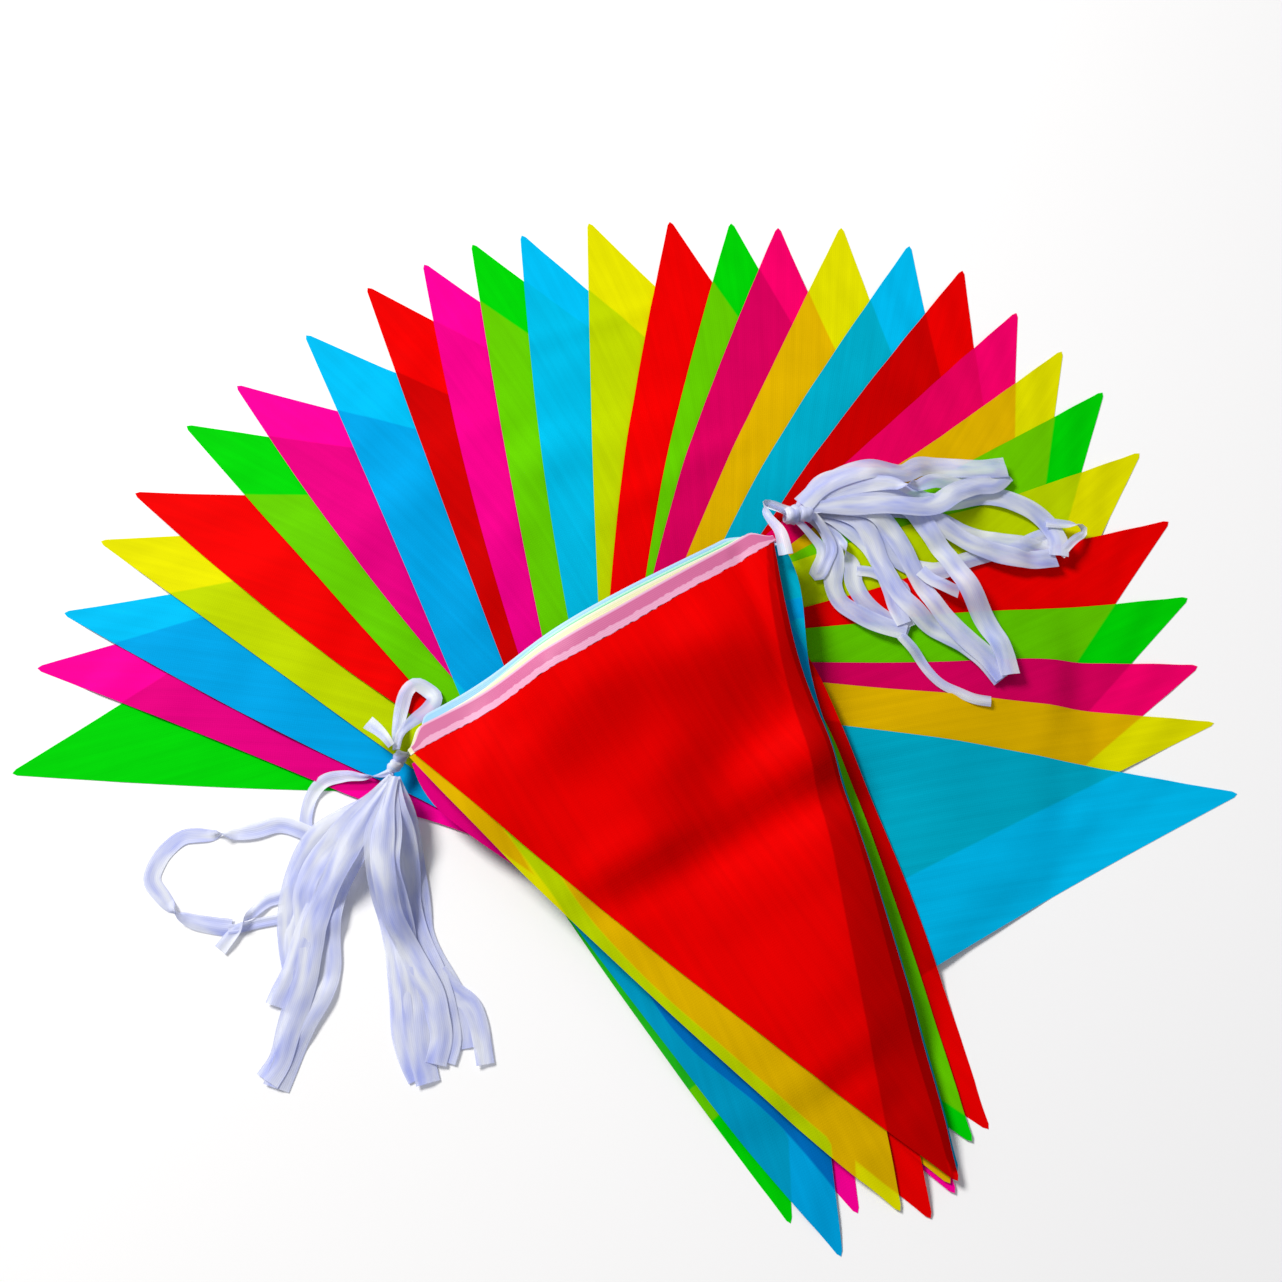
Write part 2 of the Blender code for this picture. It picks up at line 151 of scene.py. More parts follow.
def finishMaterial(material, surface):
    addNode(material, "OutputMaterial", {"Surface": surface})
    return material


def waveScale(pitch):  # of a wave texture whose lines are this far apart
    return math.pi / 10 / pitch


pileTop = cornersOf("flag_39_red")
hub = planCentre("heading_39") - pileTop["back"] * 5.15  # the heading is 0.3 to 10 mm behind the cloth


def setCamera():
    lens = bpy.data.cameras.new("camera")
    lens.angle = math.radians(camera["angle"])
    made = bpy.data.objects.new("camera", lens)
    x, y, z = camera["overHub"]
    made.location = ((hub[0] + x) * mm, (hub[1] + y) * mm, z * mm)
    made.rotation_euler = (math.radians(camera["tilt"]), 0, 0)
    bpy.context.scene.collection.objects.link(made)
    bpy.context.scene.camera = made


def setLight(name, place, size, watts, tint):
    lamp = bpy.data.lights.new(name, "AREA")
    lamp.shape = "DISK"
    lamp.size = size * mm
    lamp.energy = watts
    lamp.color = linear(tint)[:3]
    made = bpy.data.objects.new(name, lamp)
    made.location = np.array(place) * mm
    aim = -np.array(place) / np.linalg.norm(place)
    made.rotation_mode = "QUATERNION"
    made.rotation_quaternion = Vector(aim).to_track_quat("-Z", "Y")
    bpy.context.scene.collection.objects.link(made)


def setRoom():
    world = bpy.data.worlds.new("room")
    world.use_nodes = True
    background = world.node_tree.nodes["Background"]
    background.inputs["Color"].default_value = linear(light["roomTint"])
    background.inputs["Strength"].default_value = light["room"]
    bpy.context.scene.world = world
    bpy.context.scene.view_settings.view_transform = "Standard"


def layFloor():
    half, level = floor["half"] * mm, -floor["below"] * mm
    corners = [(x * half, y * half, level) for x, y in ((-1, -1), (1, -1), (1, 1), (-1, 1))]
    mesh = bpy.data.meshes.new("floor")
    mesh.from_pydata(corners, [], [(0, 1, 2, 3)])
    made = bpy.data.objects.new("floor", mesh)
    bpy.context.scene.collection.objects.link(made)
    paper = newMaterial("mattPaper")  # a matt white sweep, no gloss
    shader = addNode(
        paper, "BsdfPrincipled",
        {"Base Color": linear(floor["tint"]), "Roughness": 0.9, "Specular IOR Level": 0.2},
    )
    mesh.materials.append(finishMaterial(paper, shader.outputs[0]))


setCamera()
setRoom()
for name in ("key", "fill"):
    setLight(name, **light[name])
layFloor()
print("camera, lights and floor")


flagNames = sorted(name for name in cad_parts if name.startswith("flag_"))
flags = [cornersOf(name) for name in flagNames]
dyes = [name.split("_")[2] for name in flagNames]
deeper = {16: "rose", 20: "rose", 26: "rose", 31: "deepBlue", 39: "redWithPaintedShade"}  # these take other colour tables than the rest of their dye; the top flag, 39, takes red with painted shade, darker where it lies over other cloth
fanCount = 28

heap = {
    "rise": 1.35,  # from one layer to the next, as the solids have it
    "level": 22,  # past a flag's edge the next one stays this far at full height
    "ramp": 44,  # and then comes down over this
    "nearRim": 0.3,  # share of both that is left at the fan's rim, where the flags lie almost flat
    "rimFrom": 60,  # from the hub
    "rimTo": 270,
}
# Soft buckles that cross the fan. Each lifts one flag and all that lie on it: the flag, how far from its
# point, how it is turned from straight across, height, half width, half length.
buckles = (
    (3, 126, 8, 0.8, 24, 50),
    (5, 150, -14, 0.8, 20, 50),
    (7, 118, 12, 0.9, 22, 50),
    (8, 62, -18, 0.7, 15, 40),
    (8, 166, -24, 1.3, 20, 50),
    (9, 112, 6, 0.7, 18, 45),
    (11, 146, 10, 0.8, 20, 45),
    (12, 70, 8, 0.9, 10, 40),
    (12, 176, -6, 1.2, 14, 45),
    (14, 128, 14, 0.7, 22, 50),
    (17, 104, -12, 0.8, 18, 45),
    (18, 64, 8, 0.6, 14, 40),
)
# Folds that every flag from the first one named follows: two ends from the hub, height, half width.
folds = (
    (29, (-95, -40), (-60, -70), 5.0, 40),
    (29, (85, 62), (95, 20), 4.0, 34),
    (37, (60, 0), (150, -150), 4.5, 36),
)
# Hollows and ridges where the whole heap gives or stands: route from the hub, share of the height
# there, half width.
presses = (
    (((-2, -121), (45, -98), (78, -81), (106, -68)), -0.105, 17),
    (((6, -104), (44, -82), (74, -64), (98, -50)), 0.1, 20),
    (((18, -140), (62, -118), (100, -99)), 0.045, 18),
    (((-24, -14), (-50, -38), (-56, -60)), 0.04, 14),
    (((0, -62), (25, -45), (50, -40), (72, -38)), -0.2, 40),
    (((66, 42), (78, 4), (88, -30)), -0.025, 7),
    (((108, -202), (128, -190)), 0.06, 9),
    (((116, -214), (136, -200)), -0.06, 9),
    (((206, 60), (218, 20), (222, -20), (212, -60), (195, -100), (165, -138)), -0.38, 60),
)


def depthIn(triangle, places):  # how far inside, negative outside
    best = np.full(len(places), np.inf)
    for k in range(3):
        start, end = triangle[k - 1], triangle[k]
        along = (end - start) / np.linalg.norm(end - start)
        best = np.minimum(best, (places - start) @ across(along))
    return best


def awayFrom(start, end, places):  # distance to the straight line between two points
    along = end - start
    share = np.clip(((places - start) @ along) / (along @ along), 0, 1)
    return np.linalg.norm(places - start - share[:, None] * along, axis=1)


def gapTo(triangle, places):  # how far outside, 0 inside
    nearest = np.min([awayFrom(triangle[k - 1], triangle[k], places) for k in range(3)], axis=0)
    return np.where(depthIn(triangle, places) > 0, 0, nearest)


def ridge(places, route, half):  # 1 along a route, falling to nothing at half to each side
    away = np.min([awayFrom(start, end, places) for start, end in zip(route, route[1:])], axis=0)
    return np.where(away < half, np.cos(away / half * math.pi / 2) ** 2, 0)


def pressed(places):
    return sum(share * ridge(places, hub + route, half) for route, share, half in presses)


def restHeight(number, places):  # the height at which flag number lies at these places
    radius = np.linalg.norm(places - hub, axis=1)
    spread = np.interp(radius, (heap["rimFrom"], heap["rimTo"]), (1, heap["nearRim"]))
    height = np.zeros(len(places))
    for below in range(number - 1):
        gap = gapTo(flags[below]["triangle"], places)
        height += heap["rise"] * (1 - smooth((gap - heap["level"] * spread) / (heap["ramp"] * spread)))
    for first, fromPoint, turn, lift, half, reach in buckles:
        if first <= number:
            flag = flags[first - 1]
            middle = flag["point"] + flag["back"] * fromPoint
            angle = math.radians(turn)
            side = across(flag["back"]) * math.cos(angle) + flag["back"] * math.sin(angle)
            height += lift * ridge(places, np.array((middle - side * reach, middle + side * reach)), half)
    for first, start, end, lift, half in folds:
        if first <= number:
            height += lift * ridge(places, hub + (start, end), half)
    return height * (1 + pressed(places))


dyeHex = {
    "red": {"floor": "#e60000", "yellow": "#e80000", "warm": "#cc0000", "cool": "#c60000"},
    # the top flag's red: about as red over the floor and over yellow, and darker over other cloth, which is
    # painted shade
    "redWithPaintedShade": {"floor": "#e60000", "yellow": "#e60000", "warm": "#bc0000", "cool": "#980000"},
    "yellow": {"floor": "#dedc00", "yellow": "#d8d800", "warm": "#dcb000", "cool": "#b8d000"},
    "green": {"floor": "#00ce04", "yellow": "#6cc800", "warm": "#62c600", "cool": "#22b41c"},
    "blue": {"floor": "#00b8ec", "yellow": "#00aac8", "warm": "#009ede", "cool": "#00b4de"},
    "deepBlue": {"floor": "#00a0dc", "yellow": "#0088b8", "warm": "#006cbc", "cool": "#0096c0"},
    "pink": {"floor": "#fa0096", "yellow": "#f40080", "warm": "#ea0086", "cool": "#de007c"},
    "rose": {"floor": "#f40068", "yellow": "#f0005c", "warm": "#e6005a", "cool": "#d4005a"},
}
weave = {
    "pitch": 1.1,  # mm; real threads are 0.3 mm apart, too fine for this picture
    "cloudy": 42,  # size of the faint patches of tone
    "streak": 3.5,  # width of the faint lines along the warp
    "drawnOut": 0.03,  # the lines run on along the warp by as much
}
groupOf = {"yellow": "yellow", "red": "warm", "pink": "warm", "green": "cool", "blue": "cool"}
showing = {
    "reaching": 3,  # the taped edges of so many flags just below leave no line in a flag
    "reach": 1.4,  # because they count as this much longer
    "alone": (28,),  # this one shows only the flag right below it
    "paintedShadeUnderTop": {36: "warm", 35: "cool"},  # under the top flag these count as a darker kind than their dye, so it shows painted shade along its right side and at its point
    "nothing": -1000.0,  # where no cloth of a kind lies below
    "edge": 0.5,  # a flag's edge shows through as a line this soft, to either side
}


# Plain-woven dyed polyester: an even colour with a soft satin, sheer enough to show what lies under it.
def polyester(dye):
    material = newMaterial("wovenPolyester_" + dye)
    cut = addNode(material, "UVMap", uv_map="cut").outputs[0]
    colour = linear(dyeHex[dye]["floor"])
    # each group's colour shows what lies under the cloth; for the top flag the darker ones are also painted
    # shade
    for group in ("yellow", "warm", "cool"):
        under = addNode(material, "Attribute", attribute_name="over_" + group)
        share = addNode(
            material, "MapRange",
            {"Value": under.outputs["Fac"], "From Min": -showing["edge"], "From Max": showing["edge"]},
        )
        mixed = addNode(
            material, "Mix",
            {0: share.outputs[0], 6: colour, 7: linear(dyeHex[dye][group])},
            data_type="RGBA",
        )
        colour = mixed.outputs[2]
    patches = addNode(material, "TexNoise", {"Vector": cut, "Scale": 1 / weave["cloudy"], "Detail": 3})
    stretched = addNode(material, "Mapping", {"Vector": cut, "Scale": (1, weave["drawnOut"], 1)})
    streaks = addNode(
        material, "TexNoise",
        {"Vector": stretched.outputs[0], "Scale": 1 / weave["streak"], "Detail": 2},
    )
    tones = addNode(material, "Math", {0: patches.outputs[0], 1: streaks.outputs[0]}, operation="ADD")
    tone = addNode(
        material, "MapRange",
        {"Value": tones.outputs[0], "From Min": 0.6, "From Max": 1.4, "To Min": 0.88, "To Max": 1.08},
    )
    toned = addNode(
        material, "Mix",
        {0: 1.0, 6: colour, 7: tone.outputs[0]},
        data_type="RGBA", blend_type="MULTIPLY",
    )
    height = None
    for direction in ("X", "Y"):
        threads = addNode(
            material, "TexWave",
            {"Vector": cut, "Scale": waveScale(weave["pitch"])},
            bands_direction=direction,
        )
        if height is None:
            height = threads.outputs["Fac"]
        else:
            crossed = addNode(material, "Math", {0: height, 1: threads.outputs["Fac"]}, operation="MULTIPLY")
            height = crossed.outputs[0]
    bump = addNode(material, "Bump", {"Height": height, "Strength": 0.25, "Distance": 0.0001})
    shader = addNode(
        material, "BsdfPrincipled",
        {
            "Base Color": toned.outputs[2],
            "Roughness": 0.58,
            "Specular IOR Level": 0.01,
            "Normal": bump.outputs[0],
        },
    )
    return finishMaterial(material, shader.outputs[0])


clothMaterials = {dye: polyester(dye) for dye in dyeHex}


def addMesh(name, places, faces, cuts, material, thick):
    mesh = bpy.data.meshes.new(name)
    mesh.from_pydata((np.array(places) * mm).tolist(), [], faces)
    layer = mesh.uv_layers.new(name="cut")
    corners = np.zeros(len(mesh.loops), int)
    mesh.loops.foreach_get("vertex_index", corners)
    layer.data.foreach_set("uv", np.array(cuts)[corners].ravel())
    mesh.materials.append(material)
    mesh.shade_smooth()
    made = bpy.data.objects.new(name, mesh)
    bpy.context.scene.collection.objects.link(made)
    solid = made.modifiers.new("thickness", "SOLIDIFY")
    solid.thickness = thick * mm
    solid.offset = 1
    rim = made.modifiers.new("rim", "EDGE_SPLIT")  # the cut edge stays crisp
    rim.split_angle = math.radians(60)
    return made


def halfWidth(distance):  # of the cut flag, at this distance from its point
    straight = cloth["point"] + (cloth["width"] / 2 - cloth["point"]) * distance / cloth["length"]
    rounded = np.sqrt(1 - (1 - np.clip(distance / cloth["round"], 0, 1)) ** 2)
    return straight * rounded


# How the fan's flags are bent sideways where they are in sight: a turn in degrees, a bow in millimetres,
# both clockwise, and how far from the point it shows.
bends = {
    1: (-1.1, 4.4, 155),
    2: (2.1, -2.6, 150),
    3: (-2.0, 6.4, 175),
    4: (-0.2, 0.5, 200),
    5: (-3.2, 9.8, 175),
    6: (-0.5, 0.7, 185),
    7: (-1.5, 8.0, 210),
    8: (0.1, -0.8, 200),
    9: (-0.1, 1.2, 235),
    10: (-0.9, 5.8, 235),
    11: (-0.2, 2.3, 240),
    12: (-0.5, 5.0, 255),
    13: (-0.1, 1.2, 230),
    14: (-1.1, 5.9, 225),
    15: (-1.2, 6.6, 200),
    16: (-1.6, 8.1, 225),
    17: (-0.6, 3.3, 220),
    18: (-2.1, 8.4, 210),
    19: (-3.0, 8.3, 175),
    20: (-2.7, 6.5, 135),
    21: (0.7, 0, 105),
    22: (0.5, 0, 75),
    23: (-0.6, 0, 105),
    24: (0.8, 2.5, 100),
    25: (0.6, 0, 100),
    26: (2.2, 0, 65),
    27: (3.0, 0.6, 260),
    28: (-1.8, 4.6, 190),
}
# How far a side of a pile flag stands out from straight: at this distance from the point, this much.
edges = {
    (28, "left"): ((232, 0), (262, -7), (280, -10)),
    (29, "left"): ((70, 1.8), (140, 2.1)),
    (30, "left"): (
        (50, -3), (75, 1), (100, 5), (120, 1), (145, -3), (175, -3), (205, 4), (235, 11), (262, 12.5),
        (280, 5),
    ),
    (30, "right"): ((100, 3.4), (200, 0), (240, -6)),
    (31, "left"): ((50, 2.7), (65, 3.1)),
    (31, "right"): ((200, 0), (240, -6)),
    (32, "right"): ((50, 3.9), (100, 4.8), (150, 3.0), (205, -0.5), (220, -2.4), (233, -8), (262, -8)),
    (33, "right"): ((50, 2.6), (100, 2.9), (150, 2.3), (200, -3), (230, -9), (262, -8)),
    (34, "right"): (
        (50, 2.7), (100, 2.9), (150, 1.0), (205, -2), (222, -1.5), (233, 0.1), (245, 5.2), (262, 6),
        (280, 3),
    ),
    (35, "right"): ((150, 0), (200, -4), (230, -8), (262, -6)),
    (36, "right"): ((150, 0), (200, -4), (230, -8), (262, -6)),
    (37, "right"): ((100, 4.0), (160, 1), (200, -4), (230, -8), (262, -6)),
    (37, "left"): ((50, 4), (140, 6.5), (180, 3), (205, -4), (230, -14), (262, -18), (280, -10)),
    (38, "left"): ((40, 3.5), (110, 5.5), (200, 5.5), (255, 3)),
    (38, "right"): ((150, 0), (200, -4), (230, -8), (262, -6)),
    (39, "left"): ((70, 3.0), (140, 3.5), (210, 2.6)),
    (39, "right"): (
        (40, 2), (85, 2), (120, 0.5), (160, -1.5), (190, -3), (207, -4.5), (227, -7.5), (256, -5),
    ),
}


def bentBy(number, distance):
    if number not in bends:
        return np.zeros(len(distance))
    turn, bow, seen = bends[number]
    shift = math.tan(math.radians(turn)) * distance + bow * np.sin(math.pi * distance / cloth["length"])
    return np.where(distance > 0, shift * (1 - smooth((distance - seen) / cloth["unbends"])), 0)


def standsOut(number, side, distance):
    table = ((0, 0), *edges.get((number, side), ()), (cloth["length"] + 10, 0))
    at, out = np.array(table, float).T
    softened = [np.interp(distance + shift, at, out) for shift in (0, -14, -7, 7, 14)]
    return sum(softened) / len(softened) * np.clip(distance / 20, 0, 1)  # none at the very point


# How far each taped edge bows out behind the top one's, and how soon it does from its left and from its
# right end, where all of them meet at the knots.
bows = {
    29: (4.6, 60, 30),
    30: (3.0, 40, 30),
    31: (7.4, 13, 20),
    32: (1.0, 40, 30),
    33: (4.6, 78, 18),
    34: (1.6, 15, 22),
    35: (0.0, 40, 30),
    36: (0.0, 70, 22),
    37: (-2.0, 60, 60),
    38: (0.6, 66, 12),
    39: (-3.4, 95, 95),
}


def taperedBow(number, share):  # share runs along the taped edge from its right end
    flag = flags[number - 1]
    behind = (flag["ends"].mean(axis=0) - hub) @ flag["back"]
    bow, leftRun, rightRun = bows[number]
    length = cloth["width"]
    return bow * smooth((1 - share) * length / leftRun) * smooth(share * length / rightRun) - behind


ripples = {  # small waves that each flag has on its own
    "seed": 700,
    "number": 5,
    "height": 0.2625,
    "turn": 35,  # degrees to either side of straight across
    "length": (26, 80),
    "middle": (30, 250),  # from the point
    "reach": (20, 50),
    "strength": (0.4, 1),
}


def rippled(number, cutPlaces):
    x, y = cutPlaces.T
    chance = np.random.default_rng(ripples["seed"] + number)
    height = np.zeros(len(x))
    for _ in range(ripples["number"]):
        turn = math.radians(chance.uniform(-ripples["turn"], ripples["turn"]))
        length = chance.uniform(*ripples["length"])
        middle = chance.uniform(*ripples["middle"])
        reach = chance.uniform(*ripples["reach"])
        along = y * math.cos(turn) + x * math.sin(turn)
        wave = np.sin(2 * math.pi * along / length + chance.uniform(0, 6))
        height += wave * np.exp(-(((y - middle) / reach) ** 2)) * chance.uniform(*ripples["strength"])
    return ripples["height"] * height


def depthInFlag(number, places, reach):  # how far inside a flag as it lies, negative outside
    flag = flags[number - 1]
    rest = places - flag["point"]
    along = rest @ flag["back"]
    distance = along * cloth["length"] / (flag["spine"] @ flag["back"])
    off = rest @ flag["side"] - distance / cloth["length"] * (flag["spine"] @ flag["side"])
    off += bentBy(number, distance)
    gathered = np.linalg.norm(flag["ends"][0] - flag["ends"][1]) / cloth["width"]
    straight = cloth["point"] + (cloth["width"] / 2 - cloth["point"]) * distance / cloth["length"] * gathered
    left = straight + standsOut(number, "left", distance) - off
    right = straight + standsOut(number, "right", distance) + off
    return np.minimum(np.minimum(left, right), np.minimum(distance, cloth["length"] * reach - distance))


def layFlag(number):
    flag, name, dye = flags[number - 1], flagNames[number - 1], dyes[number - 1]
    batch = deeper.get(number, dye)
    cuts, faces, outs = [], [], []
    rows = cloth["rows"]
    distances = cloth["length"] * (np.arange(rows + 1) / rows) ** cloth["tighter"]
    widths = halfWidth(distances)
    widths[0] = 0
    left, right = (standsOut(number, side, distances) for side in ("left", "right"))
    for row in range(rows + 1):
        for column in range(row + 1):
            share = column / max(row, 1)
            cuts.append((widths[row] * (2 * share - 1), distances[row]))
            outs.append(left[row] * share**3 - right[row] * (1 - share) ** 3)  # most at the edge itself
    for row in range(rows):
        first, after = row * (row + 1) // 2, (row + 1) * (row + 2) // 2
        for column in range(row + 1):
            faces.append((after + column + 1, after + column, first + column))
            if column < row:
                faces.append((first + column + 1, after + column + 1, first + column))
    cuts = np.array(cuts)
    gathered = np.linalg.norm(flag["ends"][0] - flag["ends"][1]) / cloth["width"]
    plan = flag["point"] + cuts[:, 1:] / cloth["length"] * flag["spine"]
    plan += (cuts[:, 0] * gathered + np.array(outs) - bentBy(number, cuts[:, 1]))[:, None] * flag["side"]
    if number > fanCount:
        share = cuts[:, 0] / cloth["width"] + 0.5
        dying = (cuts[:, 1:] / cloth["length"]) ** cloth["bowed"]
        plan += taperedBow(number, share)[:, None] * dying * flag["back"]
    height = restHeight(number, plan) + np.maximum(rippled(number, cuts), -cloth["dipAtMost"])
    height = np.maximum(height, cloth["clear"])
    places = np.column_stack((plan, height))
    made = addMesh("cloth_" + name, places, faces, cuts, clothMaterials[batch], cloth["thick"])
    for group in ("yellow", "warm", "cool"):  # how far each point lies over cloth of that kind, in mm
        over = np.full(len(plan), showing["nothing"])
        for below in range(number - 1 if number in showing["alone"] else 1, number):
            depth = depthInFlag(below, plan, showing["reach"] if number - below <= showing["reaching"] else 1)
            kind = groupOf[dyes[below - 1]]
            # painted shade on the top flag: some flags below it count as a darker kind than their dye
            if number == len(flags):
                kind = showing["paintedShadeUnderTop"].get(below, kind)
            over = np.maximum(over, depth) if kind == group else np.minimum(over, -depth)
        layer = made.data.attributes.new("over_" + group, "FLOAT", "POINT")
        layer.data.foreach_set("value", over)
    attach(made, "root")
    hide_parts(name)
    return made


clothPieces = [layFlag(number) for number in range(1, len(flags) + 1)]
print("flags:", len(clothPieces))


heading = {
    "width": 10.0,
    "thick": 0.35,
    "steps": 120,
    "columns": 6,
    "gathered": 0.3,  # share of its width that is left where the tape runs into a knot
    "gathers": 10,  # and over how much of its length
    "gap": 0.2,  # from the cloth's edge
    "above": 0.1,  # the cloth
    "ragged": 0.45,  # how far its inner edge strays
    "seed": 900,
    "longer": {31: 8},  # the tape of this one runs on past its flag, to the left knot
    "doubled": (3.1, 3.5),  # the inner edge is folded under as far as this
    "fold": (8.8, 9.2),  # and the outer fold shows from here
    "wander": 1.1,  # how far the doubled band strays
    "ribs": 0.9,  # mm; real ribs are about 0.5 mm apart, too fine for this picture
}
# The tape over each dye: doubled along its inner edge, single past that, and at the fold.
tapeHex = {
    "red": {"double": "#e6a4c4", "single": "#d06c9a", "fold": "#e8b4d2"},
    "pink": {"double": "#eda8d6", "single": "#e070b4", "fold": "#ecc0e0"},
    "yellow": {"double": "#f2f2d8", "single": "#e8e8bc", "fold": "#eeeed6"},
    "green": {"double": "#c8f2e0", "single": "#64d09c", "fold": "#b8ecd8"},
    "blue": {"double": "#c4e4fa", "single": "#9cd0f2", "fold": "#b8dcf8"},
}


# Sheer white woven tape, folded over the dyed edge and sewn: the dye shows through it as a tint.
def foldedTape(dye):
    material = newMaterial("foldedTape_" + dye)
    cut = addNode(material, "UVMap", uv_map="cut").outputs[0]
    parts = addNode(material, "SeparateXYZ", {"Vector": cut})
    wander = addNode(material, "TexNoise", {"Vector": cut, "Scale": 0.35, "Detail": 3})
    uneven = addNode(
        material, "MapRange",
        {"Value": wander.outputs[0], "To Min": -heading["wander"], "To Max": heading["wander"]},
    )
    place = addNode(material, "Math", {0: parts.outputs["Y"], 1: uneven.outputs[0]}, operation="ADD")
    (innerFrom, innerTo), (outerFrom, outerTo) = heading["doubled"], heading["fold"]
    inner = addNode(
        material, "MapRange",
        {"Value": place.outputs[0], "From Min": innerFrom, "From Max": innerTo},
    )
    outer = addNode(
        material, "MapRange",
        {"Value": parts.outputs["Y"], "From Min": outerFrom, "From Max": outerTo},
    )
    bands = addNode(
        material, "Mix",
        {0: inner.outputs[0], 6: linear(tapeHex[dye]["double"]), 7: linear(tapeHex[dye]["single"])},
        data_type="RGBA",
    )
    edged = addNode(
        material, "Mix",
        {0: outer.outputs[0], 6: bands.outputs[2], 7: linear(tapeHex[dye]["fold"])},
        data_type="RGBA",
    )
    ribs = addNode(
        material, "TexWave",
        {"Vector": cut, "Scale": waveScale(heading["ribs"])},
        bands_direction="Y",
    )
    bump = addNode(material, "Bump", {"Height": ribs.outputs["Fac"], "Strength": 0.3, "Distance": 0.0001})
    shader = addNode(
        material, "BsdfPrincipled",
        {
            "Base Color": edged.outputs[2],
            "Roughness": 0.5,
            "Specular IOR Level": 0.25,
            "Normal": bump.outputs[0],
        },
    )
    return finishMaterial(material, shader.outputs[0])


tapeOver = {dye: foldedTape(dye) for dye in tapeHex}


def layHeading(number):
    flag, dye = flags[number - 1], dyes[number - 1]
    node = f"heading_{number:02d}"
    start, end = flag["ends"][1], flag["ends"][0] + flag["side"] * heading["longer"].get(number, 0)
    steps, columns = heading["steps"], heading["columns"]
    cuts, faces = [], []
    for step in range(steps + 1):
        for column in range(columns + 1):
            cuts.append((cloth["width"] * step / steps, heading["width"] * column / columns))
            if step < steps and column < columns:
                corner = step * (columns + 1) + column
                faces.append((corner, corner + columns + 1, corner + columns + 2, corner + 1))
    cuts = np.array(cuts)
    share = cuts[:, 0] / cloth["width"]
    fromEnd = np.minimum(cuts[:, 0], cloth["width"] - cuts[:, 0]) / heading["gathers"]
    wide = heading["gathered"] + (1 - heading["gathered"]) * smooth(fromEnd)
    chance = np.random.default_rng(heading["seed"] + number)
    strays = heading["ragged"] * chance.uniform(-1, 0.6, steps + 1).repeat(columns + 1) * (cuts[:, 1] == 0)
    plan = start + cuts[:, :1] / cloth["width"] * (end - start)
    behind = taperedBow(number, share) + heading["gap"] + cuts[:, 1] * wide + strays
    plan += behind[:, None] * flag["back"]
    height = restHeight(number, plan) + heading["above"]
    places = np.column_stack((plan, height))
    made = addMesh("tape_" + node, places, faces, cuts, tapeOver[dye], heading["thick"])
    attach(made, "root")
    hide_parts(node)
    return made


headingPieces = [layHeading(number) for number in range(fanCount + 1, len(flags) + 1)]
print("headings:", len(headingPieces))


strands = {
    "width": 10,
    "root": 3.6,  # width where a strand is gathered at the knot
    "opens": 30,  # length over which it opens
    "thick": 0.12,
    "step": 2.0,
    "columns": 6,
    "lifted": 0.25,  # above what it lies on
    "climb": 0.5,  # slope by which it comes down from what it crosses
    "rise": 0.3,  # between strands that cross
    "scatter": 1.5,  # how far the strands' heights spread at a knot
    "arch": 0.3,
    "crease": 0.22,  # height of the soft creases along a strand
    "tilt": 6,  # degrees that it leans to either side
    "waves": (12, 24),  # lengths of its leaning and narrowing
    "narrows": 0.12,  # share of its width
    "twistLength": 13,
    "pinch": 0.35,  # share of its width that a twist takes
    "pinchLength": 7,
    "feels": 4,  # how far around itself a strand looks for what it lies on
    "least": 2.5,  # and it lifts what comes later at least this far around
    "gather": 4,  # this near to where the strands gather, one takes the knot's height
    "before": 7,  # they gather this far in front of the knot's middle
    "behind": 6,  # or behind it
    "joins": 7,  # a strand that ends within this of a gathering belongs to it
    "clear": 0.15,  # above the floor at least
    "shade": "#b8c2fb",  # painted shade: a bluish shadow standing for the soft folds
    "white": "#f4f7ff",
    "clearTint": "#f9faff",
    "seeThrough": 0.4,
}
